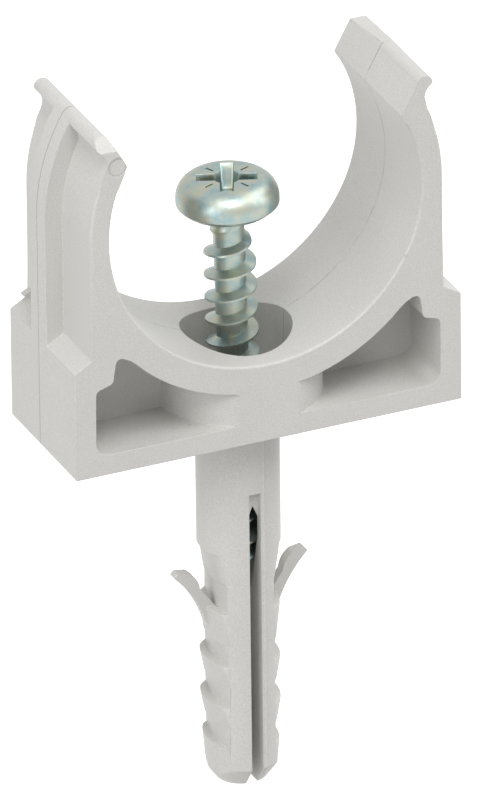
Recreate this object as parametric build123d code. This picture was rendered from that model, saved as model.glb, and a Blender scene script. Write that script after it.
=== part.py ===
from build123d import *
import os
from math import atan, cos, degrees, radians, sin, sqrt, tan

# Open snap-in clip for a 32 mm conduit, with its wall plug in place and its screw partly driven.
# Millimetres. The origin is the centre of the foot's underside, on the screw hole. +Z points away
# from the wall, +Y runs along the conduit and X runs along the foot.

# Clip body: saddle, ribs and foot
CONDUIT_D = 32.0        # bore that grips the conduit
CONDUIT_Z = 24.0        # height of the conduit's centre over the wall
RING_WALL = 2.0         # thickness of the sprung arms
RIB_HEIGHT = 1.8        # how far the middle rib stands out of the arms
RIB_THICKNESS = 3.6
WEB_THICKNESS = 3.0     # between the pockets, in line with the ribs
PARTING_Y = 0.8         # the mould parts a little behind the middle of the clip
CLIP_DEPTH = 15.1
FOOT_HEIGHT = 11.15
LEDGE_RISE = 1.05       # sloped ledge at the foot of each channel beside the rib
SADDLE_WALL = 2.85      # under the conduit, over the cored pockets

# Clip body: lead-in lips
LIP_ANGLE = 28.5        # where the bore ends, in degrees above the conduit's centre
LEAD_IN_OUT = 1.3
LEAD_IN_UP = 2.35
LIP_THICKNESS = 1.7
LIP_CROWN = 0.65        # height of the rounded top over the end of the lead-in
THROAT_ANGLE = 24.5     # where the arm's outside turns outwards under the lip
LIP_NOSE_DROP = 0.25
LIP_TIP_ROUND = 0.3     # rounding where the lead-in meets the bore
LIP_TIP_EXTRA = 0.27    # share by which the right lead-in runs on further, into the bore
GRIP_ANGLE = 27.0       # the right arm closes in from here up, in degrees below the centre
RIB_END_INSET = 0.15    # the rib runs out inside the lip's rounded edge
LIP_END_DROP = 1.1      # corner that the mould left short on the left lip
LIP_END_SETBACK = 1.6
CROWN_STEP = 0.15       # the back half of the right crown came out this much lower
CROWN_DROP = 0.55       # and falls by this much to its back end
PIN_MARK_D = 2.0        # ejector mark on the end of the left lip
PIN_MARK_DEPTH = 0.12
PIN_MARK_RISE = 0.2     # its centre over the end of the bore

# Clip body: cored pockets in the foot
POCKET_FLOOR = 2.1
END_WALL = 2.15
POCKET_STEP_Z = 8.9     # pocket height next to the end wall
POCKET_STEP_RISE = 0.5
POCKET_STEP_X = 1.75    # width of the low step beside the end wall
POCKET_LOBE_Z = 12.15
POCKET_LOBE_WIDTH = 1.5
POCKET_LOBE_LEAN = 0.4
POCKET_CORNER_ROUND = 1.3
POCKET_SMALL_ROUND = 0.6
BOSS_D = 16.2

# Clip body: moulding gate left on the back of the left arm
GATE_Z = 12.3
GATE_HEIGHT = 0.9
GATE_REACH = 0.85
GATE_DEPTH = 0.8
GATE_INSET = 0.3        # from the back of the clip

# Screw and plug seat
SINK_D = 10.6           # counterbore that takes the screw's head
SEAT_Z = 1.8            # floor that the plug's collar sits on, over the wall
NECK_CLEARANCE = 0.1    # radial, plug neck in the foot
COLLAR_CLEARANCE = 0.3  # radial, plug collar in the counterbore

# Wall plug
PLUG_D = 8.0
PLUG_DEPTH = 39.0       # reach below the foot
COLLAR_THICKNESS = 1.2
PLUG_BORE_D = 6.2
BORE_TAPER_TOP = 12.4   # depth below the foot where the bore starts to close
BORE_TAPER_END = 20.5
BORE_END_D = 2.2
SLOT_WIDTH = 1.15
SLOT_TOP = 7.5          # depth below the foot
SLOT_RECESS = 0.6       # depth of the slot's blind upper end
SLOT_POINT_TOP = 9.0    # the slot breaks into the bore in a point
SLOT_POINT_END = 10.3
TIP_TAPER = 2.1
TIP_D = 5.0
BARB_FIRST = 25.85      # depth of the first shoulder under the wings
BARB_PITCH = 4.4
BARB_COUNT = 3
BARB_RELIEF = 0.35      # a shoulder stands this far inside the plug's own round
BARB_DROP = 0.4         # and its flank leans in by this much more
FLANK_R = 6.0           # a flank is flatter than the plug, and runs out before the slot
LAST_RELIEF = 0.2       # the last barb stands further inside, towards the tip
NOTCH_HEIGHT = 2.25
NOTCH_RIDGE = 2.75      # notch floors are roofs, this far from the axis in the middle
NOTCH_SHALLOW = 2.5     # this far at one edge of the barbs
NOTCH_DEEP = 2.1        # and this far at the other
WINDOW_TOP = 17.2       # recess that a wing folds into
WINDOW_HEIGHT = 3.0
WINDOW_DROP = 0.85      # the flank over the window leans in by this much
WINDOW_FLANK = 3.2
WING_REACH = 6.9        # from the axis to the wing's tip
WING_TIP = 16.15        # depth of the tips
WING_WIDTH = 1.15
WING_END = 1.5          # the wing's blunt end, from its outer edge to its inner one
WING_END_DROP = 0.4     # fall of the end towards its outer edge
WING_END_SLOPE = 0.2    # and towards its inner edge
WING_ROOT = 22.0        # depth where the wing's outer edge runs into the plug
WING_NECK = (4.25, -18.2)           # inner edge where the wing widens into the plug, in XZ
WING_INNER_BELLY = (4.6, -17.15)    # middle of the curve of its inner edge
WING_OUTER_BELLY = (5.0, -18.95)    # and of its outer edge

# Screw
SCREW_D = 5.0           # over the crests of its thread, whose turns aren't cut here
SCREW_LENGTH = 40.0     # under the head
POINT_DEPTH = 18.75     # the point stands this deep under the foot
POINT_LENGTH = 5.0
POINT_FLAT = 0.15
NECK_D = 3.0            # bare core between the thread and the head
NECK_LENGTH = 0.8
RUNOUT_LENGTH = 1.6     # the thread dies out over this length below the neck
HEAD_D = 9.8
HEAD_HEIGHT = 3.1
HEAD_RIM = 1.0          # height of the head's widest part over its seat
HEAD_TOP_D = 6.0
HEAD_SEAT_INSET = 0.6   # bevel between the head's seat and its rim
HEAD_BEVEL = 0.55       # height of that bevel
RECESS_D = 5.8
RECESS_DEPTH = 2.2
RECESS_WING = 1.3
RECESS_CORE_D = 2.6
RECESS_TAPER = 9.0
RECESS_FLARE = 3.0      # the wings' ends slope this much more than the middle
RECESS_DRAFT = 0.3      # the wings narrow this much to the bottom
RECESS_TURN = -23.8     # how far the cross is turned, in degrees
TICK_LENGTH = 1.0
TICK_WIDTH = 0.22
TICK_DEPTH = 0.2
TICK_RADIUS = 2.35
LEAN = 1.3              # the loose screw leans to the left, in degrees
LEAN_Z = -9.2           # about this height inside the plug

# Sizes that follow
BORE_R = CONDUIT_D / 2
ARM_R = BORE_R + RING_WALL
RIB_R = ARM_R + RIB_HEIGHT
RIB_FRONT = PARTING_Y - RIB_THICKNESS / 2
RIB_BACK = PARTING_Y + RIB_THICKNESS / 2
WEB_FRONT = PARTING_Y - WEB_THICKNESS / 2
WEB_BACK = PARTING_Y + WEB_THICKNESS / 2
FRONT = -CLIP_DEPTH / 2
BACK = CLIP_DEPTH / 2
PLUG_R = PLUG_D / 2
NECK_HOLE_D = PLUG_D + 2 * NECK_CLEARANCE
COLLAR_D = SINK_D - 2 * COLLAR_CLEARANCE
MARGIN = 1.0            # how far cutters run past what they cut
TOUCH = 0.001           # two sizes closer than this are the same


def polar(radius, angle):
    """A point round the conduit's centre, in the XZ plane, at an angle in degrees."""
    return Vector(radius * cos(radians(angle)), CONDUIT_Z + radius * sin(radians(angle)))


def mirrored(part):
    """The part and its twin on the other side of the screw."""
    return part + mirror(part, about=Plane.YZ)


def turned(part):
    """The part and its twin half a turn round the screw."""
    return part + Rot(0, 0, 180) * part


def plate(face, front, back):
    """A face drawn in the XZ plane, thickened from front to back along Y."""
    return Pos(0, back, 0) * extrude(face, back - front)


def lip_points():
    """Inner tip, end of the lead-in, crown and outer nose of the right lip."""
    tip = polar(BORE_R, LIP_ANGLE)
    lead = tip + Vector(LEAD_IN_OUT, LEAD_IN_UP)
    crown = lead + Vector(LIP_THICKNESS / 2, LIP_CROWN)
    nose = lead + Vector(LIP_THICKNESS, -LIP_NOSE_DROP)
    return tip, lead, crown, nose


def clip_outline():
    """The clip seen along the conduit: foot, arms, lips and saddle."""
    tip, lead, crown, nose = lip_points()
    throat = polar(ARM_R, THROAT_ANGLE)
    rising = Vector(-sin(radians(THROAT_ANGLE)), cos(radians(THROAT_ANGLE)))
    half = Curve() + [
        Line((0, 0), (RIB_R, 0)),
        Line((RIB_R, 0), (RIB_R, FOOT_HEIGHT)),
        Line((RIB_R, FOOT_HEIGHT), (ARM_R, FOOT_HEIGHT + LEDGE_RISE)),
        Line((ARM_R, FOOT_HEIGHT + LEDGE_RISE), (ARM_R, CONDUIT_Z)),
        ThreePointArc((ARM_R, CONDUIT_Z), polar(ARM_R, THROAT_ANGLE / 2), throat),
        TangentArc(throat, nose, tangent=rising),
        ThreePointArc(nose, crown, lead),
        Line(lead, tip),
    ]
    far_tip = tip + (tip - lead) * LIP_TIP_EXTRA
    grip = polar(BORE_R, -GRIP_ANGLE)
    up_the_bore = Vector(sin(radians(GRIP_ANGLE)), cos(radians(GRIP_ANGLE)))
    outline = half + mirror(half, about=Plane.YZ) + [
        Line(tip, far_tip),
        TangentArc(grip, far_tip, tangent=up_the_bore),
        ThreePointArc(grip, polar(BORE_R, -90), (-tip.X, tip.Y)),
    ]
    face = make_face(outline.edges())
    tips = face.vertices().filter_by(lambda v: far_tip.Y - TOUCH < v.Y < lead.Y - TOUCH)
    tips = tips.filter_by(lambda v: -tip.X - TOUCH < v.X < far_tip.X + TOUCH)
    return Plane.XZ * fillet(tips, LIP_TIP_ROUND)


def rib_outline():
    """Right half of the plate in the parting plane: the web's end in the foot and the rib."""
    tip, lead, crown, nose = lip_points()
    bead = Vector(crown.X, nose.Y)
    end_x = nose.X - RIB_END_INSET
    end = Vector(end_x, CONDUIT_Z + sqrt(RIB_R ** 2 - end_x ** 2))
    core_r = BORE_R + RING_WALL / 2
    outline = Wire([
        Line((core_r, 0), (RIB_R, 0)),
        Line((RIB_R, 0), (RIB_R, CONDUIT_Z)),
        ThreePointArc((RIB_R, CONDUIT_Z), polar(RIB_R, THROAT_ANGLE / 2), end),
        Line(end, bead),
        Line(bead, polar(core_r, LIP_ANGLE)),
        ThreePointArc(polar(core_r, LIP_ANGLE), polar(core_r, LIP_ANGLE / 2), (core_r, CONDUIT_Z)),
        Line((core_r, CONDUIT_Z), (core_r, 0)),
    ])
    return Plane.XZ * make_face(outline)


def pocket_outline():
    """The cored pocket in the right half of the foot, seen along the conduit."""
    saddle_r = BORE_R + SADDLE_WALL
    outer = RIB_R - END_WALL
    step = outer - POCKET_STEP_X
    lobe_right = step - POCKET_LOBE_LEAN
    lobe_left = lobe_right - POCKET_LOBE_WIDTH
    lobe_left_z = CONDUIT_Z - sqrt(saddle_r ** 2 - lobe_left ** 2)
    bottom = Vector(0, CONDUIT_Z - saddle_r)
    middle_x = 0.5 * lobe_left
    middle = Vector(middle_x, CONDUIT_Z - sqrt(saddle_r ** 2 - middle_x ** 2))
    face = make_face(Wire([
        Line((0, POCKET_FLOOR), (outer, POCKET_FLOOR)),
        Line((outer, POCKET_FLOOR), (outer, POCKET_STEP_Z)),
        Line((outer, POCKET_STEP_Z), (step, POCKET_STEP_Z + POCKET_STEP_RISE)),
        Line((step, POCKET_STEP_Z + POCKET_STEP_RISE), (lobe_right, POCKET_LOBE_Z)),
        Line((lobe_right, POCKET_LOBE_Z), (lobe_left, lobe_left_z)),
        ThreePointArc((lobe_left, lobe_left_z), middle, bottom),
        Line(bottom, (0, POCKET_FLOOR)),
    ]))
    corners = face.vertices().filter_by(lambda v: v.X > MARGIN)
    floor_corner = corners.sort_by(Axis.Y)[0]
    face = fillet(floor_corner, POCKET_CORNER_ROUND)
    upper = face.vertices().filter_by(
        lambda v: v.X > lobe_left - MARGIN and v.Y > POCKET_STEP_Z - MARGIN
    )
    return Plane.XZ * fillet(upper, POCKET_SMALL_ROUND)


def pockets():
    """The four pockets, cored from the front and the back up to the web."""
    half = mirrored(plate(pocket_outline(), FRONT - MARGIN, WEB_FRONT))
    half += mirrored(plate(pocket_outline(), WEB_BACK, BACK + MARGIN))
    boss = Cylinder(BOSS_D / 2, CONDUIT_Z, align=(Align.CENTER, Align.CENTER, Align.MIN))
    return half - boss


def screw_seat():
    """The stepped hole for the screw's head, the plug's collar and the plug's neck."""
    sink = Pos(0, 0, SEAT_Z) * Cylinder(
        SINK_D / 2, CONDUIT_Z, align=(Align.CENTER, Align.CENTER, Align.MIN)
    )
    return sink + Cylinder(NECK_HOLE_D / 2, 2 * (SEAT_Z + MARGIN))


def short_corner():
    """What the mould left short at the front end of the left lip."""
    crown_z = lip_points()[2].Y
    wedge = make_face(Polyline(
        (FRONT, crown_z - LIP_END_DROP),
        (FRONT + LIP_END_SETBACK, crown_z),
        (FRONT + LIP_END_SETBACK, crown_z + MARGIN),
        (FRONT - MARGIN, crown_z + MARGIN),
        (FRONT - MARGIN, crown_z - LIP_END_DROP),
        close=True,
    ))
    return Pos(-RIB_R - MARGIN, 0, 0) * extrude(Plane.YZ * wedge, RIB_R)


def low_crown():
    """What the back half of the mould left off the right lip's crown."""
    crown_z = lip_points()[2].Y
    wedge = make_face(Polyline(
        (PARTING_Y, crown_z - CROWN_STEP),
        (BACK, crown_z - CROWN_DROP),
        (BACK + MARGIN, crown_z - CROWN_DROP),
        (BACK + MARGIN, crown_z + MARGIN),
        (PARTING_Y, crown_z + MARGIN),
        close=True,
    ))
    return Pos(MARGIN, 0, 0) * extrude(Plane.YZ * wedge, RIB_R)


def pin_mark():
    """The shallow round mark of an ejector pin on the end of the left lip."""
    tip = lip_points()[0]
    centre = Vector(-tip.X - PIN_MARK_D / 2, FRONT + PIN_MARK_DEPTH, tip.Y + PIN_MARK_RISE)
    return Pos(centre) * Rot(90, 0, 0) * Cylinder(
        PIN_MARK_D / 2, MARGIN, align=(Align.CENTER, Align.CENTER, Align.MIN)
    )


def gate():
    """The pointed stub where the moulding was broken off its runner."""
    stub = make_face(Polyline(
        (-ARM_R + RING_WALL / 2, GATE_Z),
        (-ARM_R, GATE_Z),
        (-ARM_R - GATE_REACH, GATE_Z + GATE_HEIGHT / 2),
        (-ARM_R, GATE_Z + GATE_HEIGHT),
        (-ARM_R + RING_WALL / 2, GATE_Z + GATE_HEIGHT),
        close=True,
    ))
    return plate(Plane.XZ * stub, BACK - GATE_INSET - GATE_DEPTH, BACK - GATE_INSET)


def clip_body():
    """The whole clip moulding."""
    body = plate(clip_outline(), FRONT, BACK)
    body += mirrored(plate(rib_outline(), RIB_FRONT, RIB_BACK))
    body += gate()
    body -= pockets()
    body -= screw_seat()
    body -= short_corner() + low_crown()
    return body - pin_mark()


def notch(top, height):
    """A notch between two barbs on the plug's right side; its floor is a shallow, uneven roof."""
    reach = PLUG_R + MARGIN
    rear, front = [
        NOTCH_RIDGE - (NOTCH_RIDGE - edge) * reach / sqrt(PLUG_R ** 2 - edge ** 2)
        for edge in (NOTCH_SHALLOW, NOTCH_DEEP)
    ]
    outline = make_face(Polyline(
        (NOTCH_RIDGE, 0), (rear, reach), (2 * reach, reach), (2 * reach, -reach), (front, -reach),
        close=True,
    ))
    return Pos(0, 0, -top - height) * extrude(outline, height)


def flank(top, bottom, top_inset, bottom_inset):
    """What a barb's leaning flank takes off the plug's right side."""
    lean = atan((bottom_inset - top_inset) / (bottom - top))
    axis_x = PLUG_R - FLANK_R / cos(lean) - (top_inset + bottom_inset) / 2
    kept = Pos(axis_x, 0, 0) * Rot(0, degrees(lean), 0) * Cylinder(FLANK_R, 2 * PLUG_DEPTH)
    block = Pos(PLUG_R, 0, 0) * Box(2 * PLUG_R, 2 * PLUG_D, bottom - top)
    return Pos(0, 0, -(top + bottom) / 2) * (block - kept)


def barbs():
    """All that the barbs and the wing's window take off one side of the plug."""
    lean = BARB_RELIEF + BARB_DROP
    window_end = WINDOW_TOP + WINDOW_HEIGHT
    cut = flank(WINDOW_TOP - WINDOW_FLANK, WINDOW_TOP, BARB_RELIEF, WINDOW_DROP)
    cut += notch(WINDOW_TOP, WINDOW_HEIGHT)
    cut += flank(window_end, BARB_FIRST - NOTCH_HEIGHT, BARB_RELIEF, lean)
    for barb in range(BARB_COUNT):
        shoulder = BARB_FIRST + barb * BARB_PITCH
        last = barb == BARB_COUNT - 1
        root = PLUG_DEPTH if last else shoulder + BARB_PITCH - NOTCH_HEIGHT
        relief = LAST_RELIEF if last else 0
        cut += notch(shoulder - NOTCH_HEIGHT, NOTCH_HEIGHT)
        cut += flank(shoulder, root, BARB_RELIEF + relief, lean + relief)
    return cut


def wing():
    """The sprung wing on the plug's right side, which stops the plug turning in its hole."""
    root_out = (PLUG_R - BARB_RELIEF, -WING_ROOT)
    root_in = (NOTCH_RIDGE, -WINDOW_TOP - WINDOW_HEIGHT)
    tip_out = (WING_REACH, -WING_TIP - WING_END_DROP)
    tip_top = (WING_REACH - WING_END / 4, -WING_TIP)
    tip_in = (WING_REACH - WING_END, -WING_TIP - WING_END_SLOPE)
    outline = Wire([
        Line(root_in, WING_NECK),
        ThreePointArc(WING_NECK, WING_INNER_BELLY, tip_in),
        Line(tip_in, tip_top),
        Line(tip_top, tip_out),
        ThreePointArc(tip_out, WING_OUTER_BELLY, root_out),
        Line(root_out, (NOTCH_DEEP, -WING_ROOT)),
        Line((NOTCH_DEEP, -WING_ROOT), (NOTCH_DEEP, root_in[1])),
        Line((NOTCH_DEEP, root_in[1]), root_in),
    ])
    return plate(Plane.XZ * make_face(outline), -WING_WIDTH / 2, WING_WIDTH / 2)


def plug_bore():
    """The hole that the screw goes down, closing to a point that the screw spreads."""
    top = SEAT_Z + COLLAR_THICKNESS
    profile = Plane.XZ * make_face(Polyline(
        (0, top + MARGIN),
        (PLUG_BORE_D / 2, top + MARGIN),
        (PLUG_BORE_D / 2, -BORE_TAPER_TOP),
        (BORE_END_D / 2, -BORE_TAPER_END),
        (0, -BORE_TAPER_END),
        close=True,
    ))
    return revolve(profile, Axis.Z)


def plug_slot():
    """The slot that lets the plug spread: blind at its top, then pointed where it breaks through."""
    half = SLOT_WIDTH / 2
    end = PLUG_DEPTH + MARGIN
    through = make_face(Polyline(
        (0, -SLOT_POINT_TOP), (half, -SLOT_POINT_END), (half, -end), (-half, -end),
        (-half, -SLOT_POINT_END), close=True,
    ))
    blind = Pos(0, 0, -(SLOT_TOP + end) / 2) * Box(SLOT_WIDTH, 2 * PLUG_D, end - SLOT_TOP)
    blind -= Box(PLUG_D, PLUG_D - 2 * SLOT_RECESS, 2 * end)
    return plate(Plane.XZ * through, -PLUG_D, PLUG_D) + blind


def wall_plug():
    """The whole plug moulding."""
    collar_r, top = COLLAR_D / 2, SEAT_Z + COLLAR_THICKNESS
    profile = Plane.XZ * make_face(Polyline(
        (0, top),
        (collar_r, top),
        (collar_r, SEAT_Z),
        (PLUG_R, SEAT_Z),
        (PLUG_R, TIP_TAPER - PLUG_DEPTH),
        (TIP_D / 2, -PLUG_DEPTH),
        (0, -PLUG_DEPTH),
        close=True,
    ))
    plug = revolve(profile, Axis.Z)
    plug -= turned(barbs())
    plug += turned(wing())
    plug -= plug_bore()
    return plug - plug_slot()


def shank():
    """The screw under its head: bare neck, threaded length as a plain round, and point."""
    thread_r, neck_r = SCREW_D / 2, NECK_D / 2
    runout_end = SCREW_LENGTH - NECK_LENGTH
    return revolve(Plane.XZ * make_face(Polyline(
        (0, 0),
        (POINT_FLAT, 0),
        (thread_r, POINT_LENGTH),
        (thread_r, runout_end - RUNOUT_LENGTH),
        (neck_r, runout_end),
        (neck_r, SCREW_LENGTH + HEAD_RIM),
        (0, SCREW_LENGTH + HEAD_RIM),
        close=True,
    )), Axis.Z)


def recess():
    """The cross recess: two tapered bars, a round middle and four fine marks between the bars."""
    top, bottom = SCREW_LENGTH + HEAD_HEIGHT, SCREW_LENGTH + HEAD_HEIGHT - RECESS_DEPTH
    shrink = 2 * RECESS_DEPTH * tan(radians(RECESS_TAPER))
    bar = loft([
        Pos(0, 0, top) * Rectangle(RECESS_D, RECESS_WING),
        Pos(0, 0, bottom) * Rectangle(RECESS_D - RECESS_FLARE * shrink, RECESS_WING - RECESS_DRAFT),
    ], ruled=True)
    middle = Pos(0, 0, (top + bottom) / 2) * Cone(
        (RECESS_CORE_D - shrink) / 2, RECESS_CORE_D / 2, RECESS_DEPTH
    )
    mark = Pos(TICK_RADIUS, 0, top) * Box(TICK_LENGTH, TICK_WIDTH, 2 * TICK_DEPTH)
    cut = bar + Rot(0, 0, 90) * bar + middle
    for quarter in range(4):
        cut += Rot(0, 0, 45 + 90 * quarter) * mark
    return Rot(0, 0, RECESS_TURN) * cut


def head():
    """The pan head, with its seat at the top of the shank."""
    seat, top = SCREW_LENGTH, SCREW_LENGTH + HEAD_HEIGHT
    rim_r, top_r = HEAD_D / 2, HEAD_TOP_D / 2
    rim_z = seat + HEAD_RIM
    diagonal = sqrt(0.5)
    dome = (top_r + (rim_r - top_r) * diagonal, rim_z + (top - rim_z) * diagonal)
    outline = Wire([
        Line((0, seat), (rim_r - HEAD_SEAT_INSET, seat)),
        Line((rim_r - HEAD_SEAT_INSET, seat), (rim_r, seat + HEAD_BEVEL)),
        Line((rim_r, seat + HEAD_BEVEL), (rim_r, rim_z)),
        ThreePointArc((rim_r, rim_z), dome, (top_r, top)),
        Line((top_r, top), (0, top)),
        Line((0, top), (0, seat)),
    ])
    return revolve(Plane.XZ * make_face(outline), Axis.Z) - recess()


def fixing_screw():
    """The whole screw, leaning a little in its plug."""
    screw = Pos(0, 0, -POINT_DEPTH) * (head() + shank())
    return Pos(0, 0, LEAN_Z) * Rot(0, -LEAN, 0) * Pos(0, 0, -LEAN_Z) * screw


def solid_of(part):
    """The largest solid of a result, and a plain message if there is not just one."""
    solids = part.solids()
    if len(solids) != 1:
        print("expected one solid, found", [round(s.volume, 3) for s in solids])
    return solids.sort_by(SortBy.VOLUME)[-1]


if __name__ == "__main__":
    os.makedirs("parts", exist_ok=True)
    pieces = {"clip_body": clip_body, "wall_plug": wall_plug, "fixing_screw": fixing_screw}
    for name, build in pieces.items():
        piece = solid_of(build())
        piece.label = name
        export_step(piece, f"parts/{name}.step")
        print(name, round(piece.volume, 1), "mm3, valid", piece.is_valid)
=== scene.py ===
import bpy
from math import cos, hypot, radians, sin
from mathutils import Matrix, Vector


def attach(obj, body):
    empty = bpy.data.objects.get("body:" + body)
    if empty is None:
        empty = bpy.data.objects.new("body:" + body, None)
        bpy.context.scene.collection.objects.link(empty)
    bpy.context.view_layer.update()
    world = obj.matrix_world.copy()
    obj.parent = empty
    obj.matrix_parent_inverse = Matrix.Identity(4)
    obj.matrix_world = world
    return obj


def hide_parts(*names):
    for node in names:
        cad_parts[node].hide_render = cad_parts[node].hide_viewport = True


MM = 0.001
TOUCH = 0.0001 * MM             # two places closer than this are the same
ON_CUT = 0.001 * MM             # a vertex this close to a cut lies on it
WELD = 0.001 * MM               # vertices closer than this are merged
CAD_WELD = 0.002 * MM           # the same, for the meshes of the CAD solids
FAR = 1.0                       # past any part of the object

# The clip as it stands in the part
CLIP_DEPTH = 15.1 * MM
CLIP_FACE_GAP = 0.01 * MM       # an edge this close to the front or back face lies on it
PARTING_Y = 0.8 * MM            # the mould parts a little behind the middle
CONDUIT_Z = 24.0 * MM
BORE_RIM_R = 16.1 * MM          # the bore's rims lie nearer the conduit's axis than this
BORE_SKIN_R = 16.3 * MM         # and the bore's own surface, with its rounded rims, than this

# Edge rounds of the clip, and how its edges are told apart
RIM_ROUND = 0.27 * MM
SLOPE_ROUND = 0.14 * MM
CLIP_ROUND = 0.11 * MM
SHORTEST_CLIP_EDGE = 0.09 * MM
POCKET_FLOOR_Z = (1.2 * MM, 2.9 * MM)
POCKET_FLOOR_LENGTH = 4.0 * MM
SADDLE_FOOT_Z = 12.3 * MM
ARM_OUTSIDE_X = 18.3 * MM
RIM_ROUND_TOP_Z = 30.2 * MM     # the larger rounding ends just under the lips
UNDER_LIP_Z = (28.0 * MM, 31.0 * MM)
RIB_END_HALF = 2.2 * MM         # the rib's end, either side of the parting plane
RIB_END_Z = 31.8 * MM
LIP_SLOPE_BOX = ((-17.0 * MM, -7.2 * MM, 33.9 * MM), (-15.3 * MM, -5.8 * MM, FAR))
GATE_STUB_BOX = ((-FAR, 1.2 * MM, 11.6 * MM), (-16.6 * MM, FAR, 14.6 * MM))

# Marks that the mould leaves on the clip
EJECTOR_X = -15.1 * MM
EJECTOR_Z = 31.8 * MM
EJECTOR_R = 0.86 * MM
EJECTOR_CLEAR_R = 1.3 * MM      # edges this close to the mark stay sharp
EJECTOR_CLEAR_Y = -7.2 * MM
GROOVE_HALF = 0.06 * MM         # half the width of the groove on the parting line
GROOVE_DEPTH = 0.10 * MM
GROOVE_LOW_Z = 0.3 * MM
GROOVE_CLEAR_R = 5.5 * MM       # no groove this near the screw hole's axis
GROOVE_CLEAR_Z = 12.0 * MM      # up to this height, which keeps it out of the hole

# The plug's edge rounds and the mould line beside its slot
PLUG_ROUND = 0.08 * MM
SHORTEST_PLUG_EDGE = 0.2 * MM
MOULD_LINE_X = 0.92 * MM
MOULD_LINE_HALF = 0.12 * MM
MOULD_LINE_HEIGHT = 0.10 * MM
MOULD_LINE_FRONT_Y = -2.6 * MM
MOULD_LINE_CUT_Z = -0.4 * MM    # the line starts at a cut just under the foot
MOULD_LINE_TOP_Z = -0.3 * MM

# The screw, measured from its point, and how it stands in the part
SCREW_LENGTH = 40.0 * MM
POINT_LENGTH = 5.0 * MM
POINT_SHARE = 0.06              # how wide the point is, as a share of the screw
POINT_DEPTH = 18.75 * MM        # how far the point stands under the foot
LEAN = radians(1.3)
LEAN_HEIGHT = -9.2 * MM         # the screw leans about this height
CREST_R = 2.5 * MM
ROOT_R = 1.5 * MM
THREAD_PITCH = 2.36 * MM
THREAD_FOOT = 1.06 * MM         # the thread's width at its root
THREAD_TURNS = 19               # enough to pass both ends of the shank, which are cut off
THREAD_STEPS = 72               # in one turn
CREST_WIDTH = 0.2 * MM
FIRST_CREST = -3.454 * MM       # height of a crest on the right of the screw, below the point
RUNOUT_START = 35.15 * MM
RUNOUT = 3.5 * MM
SHANK_IN_HEAD = 0.5 * MM        # how far the wound shank reaches into the head
HEAD_SEAT = 0.02 * MM           # the CAD screw's head is cut off this far over the shank's end
HEAD_ROUND = 0.05 * MM
SHORTEST_HEAD_EDGE = 0.15 * MM

# The mouldings' skin
GRAIN_RANGE = (0.76, 1.24)      # what the grain multiplies the colour by
SPECK_FADE = (0.05, 0.12)       # where a speck starts and stops to fade, in cells
SPECK_STRENGTH = 0.35
# The seam below is a painted shadow line along the parting groove
SEAM_SHADOW_FADE = (0.03 * MM, 0.09 * MM)
SEAM_PATCHES = (0.43, 0.57)     # the noise's range over which the painted seam shadow comes and goes
SEAM_IN_BORE = (0.1, 0.8)       # how much of the painted seam shadow is left in the bore
# The ring is a painted shadow line round the ejector mark
RING_SHADOW_FADE = (0.02 * MM, 0.09 * MM)
RING_SHADOW_STRENGTH = 0.55
ROUGHNESS_SWING = 0.12
SINK_HEIGHT = 6.0               # of the slight sinks, where the fine texture's is 1
SKIN_BUMP = 0.008 * MM

# The screw's zinc
ZINC_ROUGHNESS = (0.28, 0.50)
ZINC_BUMP = 0.03 * MM

# The scene around the object
FLOOR_Z = -0.085
FLOOR_SIZE = 40.0
FLOOR_GLOW = 0.8
FLOOR_GREY = (0.5, 0.5, 0.5, 1.0)
WHITE = (1.0, 1.0, 1.0, 1.0)
FULL = (0.0, 1.0)               # all of a value's range

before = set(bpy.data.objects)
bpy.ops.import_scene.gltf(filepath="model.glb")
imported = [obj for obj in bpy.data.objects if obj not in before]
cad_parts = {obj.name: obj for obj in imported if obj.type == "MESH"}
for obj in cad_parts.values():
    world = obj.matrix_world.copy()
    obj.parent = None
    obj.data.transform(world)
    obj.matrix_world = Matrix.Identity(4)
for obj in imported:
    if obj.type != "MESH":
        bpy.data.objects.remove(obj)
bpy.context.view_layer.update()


# Modelling

def deselect_all():
    bpy.ops.object.select_all(action="DESELECT")


def make_active(piece):
    deselect_all()
    piece.select_set(True)
    bpy.context.view_layer.objects.active = piece


def to_edit(piece, mode="VERT"):
    make_active(piece)
    bpy.ops.object.mode_set(mode="EDIT")
    bpy.ops.mesh.select_mode(type=mode)


def to_object():
    bpy.ops.object.mode_set(mode="OBJECT")


def pick_all():
    bpy.ops.mesh.select_all(action="SELECT")


def pick_none():
    bpy.ops.mesh.select_all(action="DESELECT")


def pick_vertices(piece, wanted):
    """Leave just the wanted vertices selected, with the piece open for editing."""
    to_edit(piece)
    pick_none()
    to_object()
    for vertex in piece.data.vertices:
        vertex.select = wanted(vertex.co)
    to_edit(piece)


def weld(distance):
    """Merge what lies closer than this in the piece that is open for editing."""
    pick_all()
    bpy.ops.mesh.remove_doubles(threshold=distance)


def copy_of(node, name, flat_deg=0.6):
    """A copy of a CAD node's mesh, with its loose triangles merged into flat faces."""
    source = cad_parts[node]
    piece = bpy.data.objects.new(name, source.data.copy())
    bpy.context.scene.collection.objects.link(piece)
    make_active(piece)
    bpy.ops.mesh.customdata_custom_splitnormals_clear()
    to_edit(piece)
    weld(CAD_WELD)
    bpy.ops.mesh.dissolve_limited(angle_limit=radians(flat_deg))
    to_object()
    return piece


def soften_edges(piece, width, wanted, segments, sharp_deg):
    """Round the sharp edges for which wanted(start, end) is true."""
    to_edit(piece, "EDGE")
    pick_none()
    bpy.ops.mesh.edges_select_sharp(sharpness=radians(sharp_deg))
    to_object()
    points = piece.data.vertices
    for edge in piece.data.edges:
        start, end = points[edge.vertices[0]].co, points[edge.vertices[1]].co
        if edge.select and not wanted(start, end):
            edge.select = False
    for face in piece.data.polygons:
        face.select = False
    to_edit(piece, "EDGE")
    bpy.ops.mesh.bevel(offset=width, segments=segments, profile=0.5, clamp_overlap=False)
    to_object()


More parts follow.
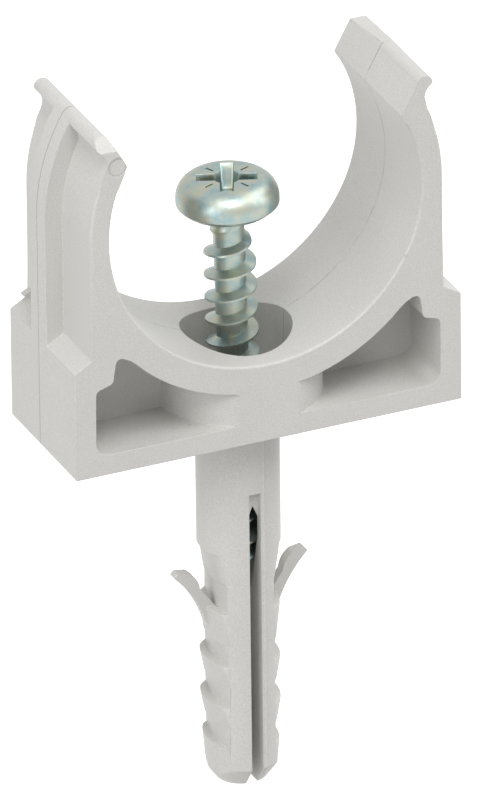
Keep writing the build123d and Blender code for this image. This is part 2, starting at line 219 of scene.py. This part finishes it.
def longer_than(shortest):
    """A test for soften_edges that takes every edge over this length."""
    return lambda start, end: (end - start).length > shortest


def shade(piece, crease_deg):
    """Smooth shading up to its creases, with the large faces kept flat."""
    make_active(piece)
    bpy.ops.object.shade_smooth_by_angle(angle=radians(crease_deg))
    flat = piece.modifiers.new("flat_faces", "WEIGHTED_NORMAL")
    flat.keep_sharp = True
    bpy.ops.object.modifier_apply(modifier="flat_faces")


def cut_open(place, normal, keep=None):
    """Cut the open piece along a plane; keep="above" or "below" leaves that side, closed."""
    pick_all()
    bpy.ops.mesh.bisect(
        plane_co=place, plane_no=normal, threshold=TOUCH,
        use_fill=keep is not None, clear_inner=keep == "above", clear_outer=keep == "below",
    )


def cut_across(piece, place, normal, keep=None):
    to_edit(piece)
    cut_open(place, normal, keep)
    to_object()


def cut_beside(piece, place, half, normal):
    """Three cuts: through a place, and half a line's width to either side of it."""
    for step in (-half, 0.0, half):
        cut_across(piece, [at + step * axis for at, axis in zip(place, normal)], normal)


def union(piece, other):
    make_active(piece)
    joint = piece.modifiers.new("joined", "BOOLEAN")
    joint.operation = "UNION"
    joint.solver = "EXACT"
    joint.object = other
    bpy.ops.object.modifier_apply(modifier="joined")
    bpy.data.objects.remove(other)


def in_box(place, box):
    return all(low < at < high for low, at, high in zip(box[0], place, box[1]))


# The clip moulding

def on_clip_face(place):
    """On the front or the back of the clip."""
    return abs(abs(place.y) - CLIP_DEPTH / 2) < CLIP_FACE_GAP


def saddle_rim(start, end):
    """The saddle's and the arms' rims up to just under the lips, and the pockets' floor edges."""
    middle = (start + end) / 2
    in_bore = hypot(middle.x, middle.z - CONDUIT_Z) < BORE_RIM_R
    at_floor = POCKET_FLOOR_Z[0] < middle.z < POCKET_FLOOR_Z[1]
    floor_edge = at_floor and (end - start).length > POCKET_FLOOR_LENGTH
    on_arm = middle.z > SADDLE_FOOT_Z and abs(middle.x) < ARM_OUTSIDE_X
    rims = in_bore or on_arm or floor_edge
    return on_clip_face(middle) and rims and max(start.z, end.z) < RIM_ROUND_TOP_Z


def lip_slope(start, end):
    """The rim of the short slope at the front end of the left lip."""
    return in_box((start + end) / 2, LIP_SLOPE_BOX)


def plain_edge(start, end):
    """Any other edge of the clip that is rounded.

    The edges at the gate stub, round the ejector mark, where the rib meets a lip, under the
    lips and on the lip's slope are left as they are.
    """
    middle = (start + end) / 2
    gate = in_box(start, GATE_STUB_BOX) or in_box(end, GATE_STUB_BOX)
    from_pin = hypot(middle.x - EJECTOR_X, middle.z - EJECTOR_Z)
    mark = from_pin < EJECTOR_CLEAR_R and middle.y < EJECTOR_CLEAR_Y
    rib_end = abs(middle.y - PARTING_Y) < RIB_END_HALF and middle.z > RIB_END_Z
    under_lip = on_clip_face(middle) and UNDER_LIP_Z[0] < middle.z < UNDER_LIP_Z[1]
    left_alone = gate or mark or rib_end or under_lip or lip_slope(start, end)
    return (end - start).length > SHORTEST_CLIP_EDGE and not left_alone


def clip_moulding():
    piece = copy_of("clip_body", "clip_moulding")
    soften_edges(piece, RIM_ROUND, saddle_rim, segments=3, sharp_deg=40)
    soften_edges(piece, SLOPE_ROUND, lip_slope, segments=3, sharp_deg=25)
    soften_edges(piece, CLIP_ROUND, plain_edge, segments=2, sharp_deg=35)
    cut_beside(piece, (0, PARTING_Y, 0), GROOVE_HALF, (0, 1, 0))
    pick_vertices(piece, lambda at: (
        abs(at.y - PARTING_Y) < ON_CUT
        and at.z > GROOVE_LOW_Z
        and (hypot(at.x, at.y) > GROOVE_CLEAR_R or at.z > GROOVE_CLEAR_Z)
    ))
    bpy.ops.transform.shrink_fatten(value=-GROOVE_DEPTH)
    to_object()
    shade(piece, crease_deg=34)
    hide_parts("clip_body")
    return piece


# The plug moulding

def plug_moulding():
    piece = copy_of("wall_plug", "plug_moulding")
    soften_edges(piece, PLUG_ROUND, longer_than(SHORTEST_PLUG_EDGE), segments=2, sharp_deg=30)
    cut_across(piece, (0, 0, MOULD_LINE_CUT_Z), (0, 0, 1))
    cut_beside(piece, (MOULD_LINE_X, 0, 0), MOULD_LINE_HALF, (1, 0, 0))
    pick_vertices(piece, lambda at: (
        abs(at.x - MOULD_LINE_X) < ON_CUT
        and at.y < MOULD_LINE_FRONT_Y
        and at.z < MOULD_LINE_TOP_Z
    ))
    bpy.ops.transform.shrink_fatten(value=MOULD_LINE_HEIGHT)
    to_object()
    shade(piece, crease_deg=34)
    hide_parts("wall_plug")
    return piece


# The screw

def drawn_line(name, points):
    """A line of edges: a plane merged to one vertex, which is extruded from point to point."""
    deselect_all()
    bpy.ops.mesh.primitive_plane_add(size=1 * MM, location=points[0])
    line = bpy.context.object
    line.name = name
    bpy.ops.object.transform_apply(location=True, rotation=False, scale=False)
    to_edit(line)
    pick_all()
    bpy.ops.mesh.merge(type="CENTER")
    for start, end in zip(points, points[1:]):
        step = Vector(end) - Vector(start)
        bpy.ops.mesh.extrude_region_move(TRANSFORM_OT_translate={"value": step})
    to_object()
    return line


def thread_limit(height):
    """The radius that the thread may reach, at a height over the point."""
    if height < RUNOUT_START:
        return CREST_R
    share = min((height - RUNOUT_START) / RUNOUT, 1.0)
    return CREST_R + (ROOT_R - CREST_R) * share


def threaded_bar():
    """The shank: one turn's outline wound up round the screw, tapered to a point at its foot."""
    crest = FIRST_CREST
    shank = drawn_line("screw_shank", [
        (ROOT_R, 0, crest - THREAD_FOOT / 2),
        (CREST_R, 0, crest - CREST_WIDTH / 2),
        (CREST_R, 0, crest + CREST_WIDTH / 2),
        (ROOT_R, 0, crest + THREAD_FOOT / 2),
        (ROOT_R, 0, crest - THREAD_FOOT / 2 + THREAD_PITCH),
    ])
    turns = shank.modifiers.new("turns", "SCREW")
    turns.axis = "Z"
    turns.screw_offset = THREAD_PITCH
    turns.iterations = THREAD_TURNS
    turns.steps = turns.render_steps = THREAD_STEPS
    bpy.ops.object.modifier_apply(modifier="turns")
    for vertex in shank.data.vertices:
        at = vertex.co
        point = POINT_SHARE + (1 - POINT_SHARE) * min(max(at.z / POINT_LENGTH, 0.0), 1.0)
        trimmed = min(1.0, thread_limit(at.z) / hypot(at.x, at.y))
        at.x *= point * trimmed
        at.y *= point * trimmed
    to_edit(shank)
    weld(WELD)
    cut_open((0, 0, 0), (0, 0, 1), keep="above")
    cut_open((0, 0, SCREW_LENGTH + SHANK_IN_HEAD), (0, 0, 1), keep="below")
    weld(WELD)
    bpy.ops.mesh.delete_loose()
    pick_all()
    bpy.ops.mesh.normals_make_consistent(inside=False)
    to_object()
    return shank


def zinc_screw():
    """The wound shank, leant as the screw stands, joined to the head of the CAD screw."""
    stand = (
        Matrix.Translation((0, 0, LEAN_HEIGHT))
        @ Matrix.Rotation(-LEAN, 4, "Y")
        @ Matrix.Translation((0, 0, -LEAN_HEIGHT - POINT_DEPTH))
    )
    shank = threaded_bar()
    shank.matrix_world = stand
    make_active(shank)
    bpy.ops.object.transform_apply(location=True, rotation=True, scale=True)

    piece = copy_of("fixing_screw", "zinc_screw", flat_deg=0.0)
    seat = stand @ Vector((0, 0, SCREW_LENGTH + HEAD_SEAT))
    along = (stand.to_3x3() @ Vector((0, 0, 1))).normalized()
    cut_across(piece, seat, along, keep="above")
    soften_edges(piece, HEAD_ROUND, longer_than(SHORTEST_HEAD_EDGE), segments=2, sharp_deg=30)
    union(piece, shank)
    shade(piece, crease_deg=32)
    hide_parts("fixing_screw")
    return piece


# Nodes

def feed(tree, socket, value):
    """Link an output to an input, or set the input to a plain value."""
    if isinstance(value, bpy.types.NodeSocket):
        tree.links.new(value, socket)
    else:
        socket.default_value = value


def add_node(tree, kind, **values):
    """A node with its settings and what its inputs get; spaces are written as underscores."""
    node = tree.nodes.new(kind)
    for key, value in values.items():
        if hasattr(node, key):
            setattr(node, key, value)
        else:
            feed(tree, node.inputs[key.replace("_", " ")], value)
    return node


def calc(tree, operation, *values):
    """The result of a maths node."""
    node = add_node(tree, "ShaderNodeMath", operation=operation)
    for socket, value in zip(node.inputs, values):
        feed(tree, socket, value)
    return node.outputs[0]


def measure(tree, operation, *vectors):
    """A length or a distance, from a vector maths node."""
    node = add_node(tree, "ShaderNodeVectorMath", operation=operation)
    for socket, vector in zip(node.inputs, vectors):
        feed(tree, socket, vector)
    return node.outputs["Value"]


def noise(tree, place, scale, detail, roughness=0.5):
    node = add_node(
        tree, "ShaderNodeTexNoise", Vector=place, Scale=scale, Detail=detail, Roughness=roughness
    )
    return node.outputs["Fac"]


def spread(tree, value, given, wanted):
    """A value that runs over the given range, laid out over the wanted one and kept in it."""
    node = add_node(
        tree, "ShaderNodeMapRange", Value=value,
        From_Min=given[0], From_Max=given[1], To_Min=wanted[0], To_Max=wanted[1],
    )
    return node.outputs[0]


def blend(tree, share, first, second):
    """Two colours mixed."""
    node = add_node(tree, "ShaderNodeMix", data_type="RGBA", Factor=share)
    feed(tree, node.inputs[6], first)
    feed(tree, node.inputs[7], second)
    return node.outputs[2]


def object_place(tree):
    return add_node(tree, "ShaderNodeTexCoord").outputs["Object"]


def new_group(name, inputs, outputs):
    """A shader node group with named sockets: (name, type, default) for each input."""
    group = bpy.data.node_groups.new(name, "ShaderNodeTree")
    for label, kind, default in inputs:
        socket = group.interface.new_socket(name=label, in_out="INPUT", socket_type=kind)
        socket.default_value = default
    for label, kind in outputs:
        group.interface.new_socket(name=label, in_out="OUTPUT", socket_type=kind)
    given = group.nodes.new("NodeGroupInput").outputs
    return group, given, group.nodes.new("NodeGroupOutput").inputs


def new_tree(holder, kind):
    """The holder's empty node tree, and the input of its new output node."""
    holder.use_nodes = True
    tree = holder.node_tree
    tree.nodes.clear()
    return tree, tree.nodes.new(kind).inputs["Surface"]


def new_material(name):
    material = bpy.data.materials.new(name)
    tree, out = new_tree(material, "ShaderNodeOutputMaterial")
    shader = tree.nodes.new("ShaderNodeBsdfPrincipled")
    feed(tree, out, shader.outputs["BSDF"])
    return material, tree, shader.inputs


def add_bump(tree, shader, height, strength, distance):
    bump = add_node(tree, "ShaderNodeBump", Height=height, Strength=strength, Distance=distance)
    feed(tree, shader["Normal"], bump.outputs["Normal"])


# Materials

def moulded_skin():
    """Group: mottling, grain, sparse specks, slight sinks, and painted shadow lines along the
    parting line and round the ejector mark.
    """
    group, given, out = new_group(
        "moulded_skin",
        [
            ("Colour", "NodeSocketColor", (0.6, 0.6, 0.6, 1.0)),
            ("Speck and Shadow Colour", "NodeSocketColor", (0.3, 0.28, 0.25, 1.0)),
            ("Mottle", "NodeSocketFloat", 0.04),
            ("Specks", "NodeSocketFloat", 0.08),
            ("Seam", "NodeSocketFloat", 0.0),
            ("Roughness", "NodeSocketFloat", 0.5),
        ],
        [
            ("Colour", "NodeSocketColor"),
            ("Roughness", "NodeSocketFloat"),
            ("Height", "NodeSocketFloat"),
        ],
    )
    place = object_place(group)

    # Mottling and grain
    broad = noise(group, place, scale=110.0, detail=3.0, roughness=0.6)
    swing = calc(group, "SUBTRACT", broad, 0.5)
    grain = noise(group, place, scale=7000.0, detail=2.0, roughness=0.7)
    grain_level = spread(group, grain, FULL, GRAIN_RANGE)
    level = calc(group, "MULTIPLY_ADD", swing, given["Mottle"], grain_level)
    toned = add_node(
        group, "ShaderNodeVectorMath", operation="SCALE", Vector=given["Colour"], Scale=level
    )

    # A faint speck in the middle of a few of the cells
    cells = add_node(
        group, "ShaderNodeTexVoronoi", Vector=place, Scale=420.0, Randomness=1.0
    ).outputs
    dot = spread(group, cells["Distance"], SPECK_FADE, (1.0, 0.0))
    pick = add_node(group, "ShaderNodeSeparateColor", Color=cells["Color"]).outputs[0]
    rare = calc(group, "GREATER_THAN", pick, calc(group, "SUBTRACT", 1.0, given["Specks"]))
    faint = calc(group, "MULTIPLY", calc(group, "MULTIPLY", dot, rare), SPECK_STRENGTH)
    specked = blend(group, faint, toned.outputs[0], given["Speck and Shadow Colour"])

    # The parting line's thin shadow, painted into the colour and broken up in the bore
    along = add_node(group, "ShaderNodeSeparateXYZ", Vector=place).outputs
    off_seam = calc(group, "ABSOLUTE", calc(group, "SUBTRACT", along["Y"], PARTING_Y))
    line = spread(group, off_seam, SEAM_SHADOW_FADE, (1.0, 0.0))
    patchy = noise(group, place, scale=650.0, detail=2.0)
    patches = spread(group, patchy, SEAM_PATCHES, SEAM_IN_BORE)
    height = calc(group, "SUBTRACT", along["Z"], CONDUIT_Z)
    across = add_node(group, "ShaderNodeCombineXYZ", X=along["X"], Z=height).outputs[0]
    outside = calc(group, "GREATER_THAN", measure(group, "LENGTH", across), BORE_SKIN_R)
    seam_shadow = calc(group, "MULTIPLY", line, calc(group, "MAXIMUM", outside, patches))

    # The painted shadow ring round the ejector pin's mark
    pin = (EJECTOR_X, -CLIP_DEPTH / 2, EJECTOR_Z)
    from_pin = measure(group, "DISTANCE", place, pin)
    off_ring = calc(group, "ABSOLUTE", calc(group, "SUBTRACT", from_pin, EJECTOR_R))
    ring_shadow = spread(group, off_ring, RING_SHADOW_FADE, (RING_SHADOW_STRENGTH, 0.0))

    # Both painted shadow lines darken the colour towards the speck colour
    painted_shadow_lines = calc(group, "MULTIPLY", calc(group, "MAXIMUM", seam_shadow, ring_shadow), given["Seam"])
    rough = calc(group, "MULTIPLY_ADD", swing, ROUGHNESS_SWING, given["Roughness"])
    fine = noise(group, place, scale=2600.0, detail=2.0, roughness=0.6)
    feed(group, out["Colour"], blend(group, painted_shadow_lines, specked, given["Speck and Shadow Colour"]))
    feed(group, out["Roughness"], rough)
    feed(group, out["Height"], calc(group, "MULTIPLY_ADD", broad, SINK_HEIGHT, fine))
    return group


def moulded_plastic(name, skin, colour, **settings):
    """A plastic with the moulded skin; the settings are the skin's other inputs."""
    material, tree, shader = new_material(name)
    surface = add_node(
        tree, "ShaderNodeGroup", node_tree=skin, Colour=colour + (1.0,), **settings
    ).outputs
    feed(tree, shader["Base Color"], surface["Colour"])
    feed(tree, shader["Roughness"], surface["Roughness"])
    add_bump(tree, shader, surface["Height"], strength=0.35, distance=SKIN_BUMP)
    return material


def zinc_plate(name):
    """Bright zinc with faint blue-green and yellow clouds and a fine grit."""
    material, tree, shader = new_material(name)
    place = object_place(tree)
    clouds = noise(tree, place, scale=620.0, detail=4.0, roughness=0.65)
    tint = add_node(tree, "ShaderNodeValToRGB", Fac=clouds)
    ramp = tint.color_ramp
    ramp.elements.new(0.5)
    for element, (position, colour) in zip(ramp.elements, (
        (0.36, (0.29, 0.41, 0.42, 1.0)),
        (0.50, (0.40, 0.45, 0.41, 1.0)),
        (0.66, (0.46, 0.47, 0.37, 1.0)),
    )):
        element.position = position
        element.color = colour
    feed(tree, shader["Base Color"], tint.outputs["Color"])
    shader["Metallic"].default_value = 1.0
    grit = noise(tree, place, scale=3000.0, detail=3.0)
    feed(tree, shader["Roughness"], spread(tree, grit, FULL, ZINC_ROUGHNESS))
    add_bump(tree, shader, grit, strength=0.5, distance=ZINC_BUMP)
    return material


# Scene around the object

def seen_or_mirrored(tree, path):
    """1 for what the camera sees, straight or in a reflection, and 0 for what only lights."""
    return calc(tree, "MAXIMUM", path["Is Camera Ray"], path["Is Glossy Ray"])


def add_floor():
    """A plain white floor, well under the plug's tip: it glows only where it is seen."""
    deselect_all()
    bpy.ops.mesh.primitive_plane_add(size=FLOOR_SIZE, location=(0, 0, FLOOR_Z))
    floor = bpy.context.object
    floor.name = "floor"
    material = bpy.data.materials.new("floor_white")
    tree, out = new_tree(material, "ShaderNodeOutputMaterial")
    path = add_node(tree, "ShaderNodeLightPath").outputs
    glow = calc(tree, "MULTIPLY", seen_or_mirrored(tree, path), FLOOR_GLOW)
    both = tree.nodes.new("ShaderNodeAddShader")
    matte = add_node(tree, "ShaderNodeBsdfDiffuse", Color=FLOOR_GREY)
    light = add_node(tree, "ShaderNodeEmission", Color=WHITE, Strength=glow)
    feed(tree, both.inputs[0], matte.outputs[0])
    feed(tree, both.inputs[1], light.outputs[0])
    feed(tree, out, both.outputs[0])
    floor.data.materials.append(material)


def light_world(strength):
    """White where it is seen or mirrored, and a plain soft sky where it lights."""
    world = bpy.data.worlds.new("studio")
    bpy.context.scene.world = world
    tree, out = new_tree(world, "ShaderNodeOutputWorld")
    path = add_node(tree, "ShaderNodeLightPath").outputs
    seen = calc(tree, "MAXIMUM", seen_or_mirrored(tree, path), path["Is Transmission Ray"])
    level = spread(tree, seen, FULL, (strength, 1.0))
    sky = add_node(tree, "ShaderNodeBackground", Color=WHITE, Strength=level)
    feed(tree, out, sky.outputs[0])


def add_lamp(name, place, size, power):
    """A square soft lamp that points at the object."""
    data = bpy.data.lights.new(name, "AREA")
    data.size = size
    data.energy = power
    lamp = bpy.data.objects.new(name, data)
    bpy.context.scene.collection.objects.link(lamp)
    lamp.location = place
    lamp.rotation_euler = (-Vector(place)).to_track_quat("-Z", "Y").to_euler()


def add_camera():
    """A long lens at the photograph's angle: above, in front and to the left."""
    azimuth, elevation, roll = radians(-23.771), radians(27.401), radians(-0.6895)
    target = Vector((0.2747, 0.0, 0.6118)) * MM
    distance = 2.0
    pixels_per_metre = 10643.0
    tall, sensor = 800, 36.0
    data = bpy.data.cameras.new("camera")
    data.sensor_fit = "VERTICAL"
    data.sensor_height = sensor
    data.lens = pixels_per_metre * distance / tall * sensor
    data.clip_start, data.clip_end = 0.1, 60.0
    camera = bpy.data.objects.new("camera", data)
    bpy.context.scene.collection.objects.link(camera)
    away = Vector((sin(azimuth) * cos(elevation), -cos(azimuth) * cos(elevation), sin(elevation)))
    right = Vector((cos(azimuth), sin(azimuth), 0.0))
    up = away.cross(right)
    right_rolled = right * cos(roll) + up * sin(roll)
    up_rolled = up * cos(roll) - right * sin(roll)
    turn = Matrix((right_rolled, up_rolled, away)).transposed().to_4x4()
    camera.matrix_world = Matrix.Translation(target + away * distance) @ turn
    bpy.context.scene.camera = camera


# The object

clip = clip_moulding()
plug = plug_moulding()
screw = zinc_screw()

skin = moulded_skin()
clip_plastic = moulded_plastic(
    "clip_plastic", skin, (0.60, 0.592, 0.566), Mottle=0.10, Specks=0.10, Seam=0.75, Roughness=0.48
)
plug_plastic = moulded_plastic(
    "plug_plastic", skin, (0.60, 0.591, 0.563), Mottle=0.12, Specks=0.05, Seam=0.0, Roughness=0.45
)
zinc = zinc_plate("zinc_plate")
for piece, material, slot in (
    (clip, clip_plastic, "clip_plastic"),
    (plug, plug_plastic, "plug_plastic"),
    (screw, zinc, "screw_zinc"),
):
    piece.data.materials.clear()
    piece.data.materials.append(material)
    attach(piece, "root")

add_floor()
light_world(strength=0.40)
add_lamp("left_softbox", (-1.12, -0.36, 0.34), size=1.1, power=7.9)
add_lamp("front_softbox", (-0.16, -0.61, 1.03), size=0.6, power=6.8)
add_lamp("right_fill", (0.94, -0.20, 0.75), size=1.3, power=9.4)
add_camera()

scene = bpy.context.scene
scene.view_settings.view_transform = "Standard"
deselect_all()
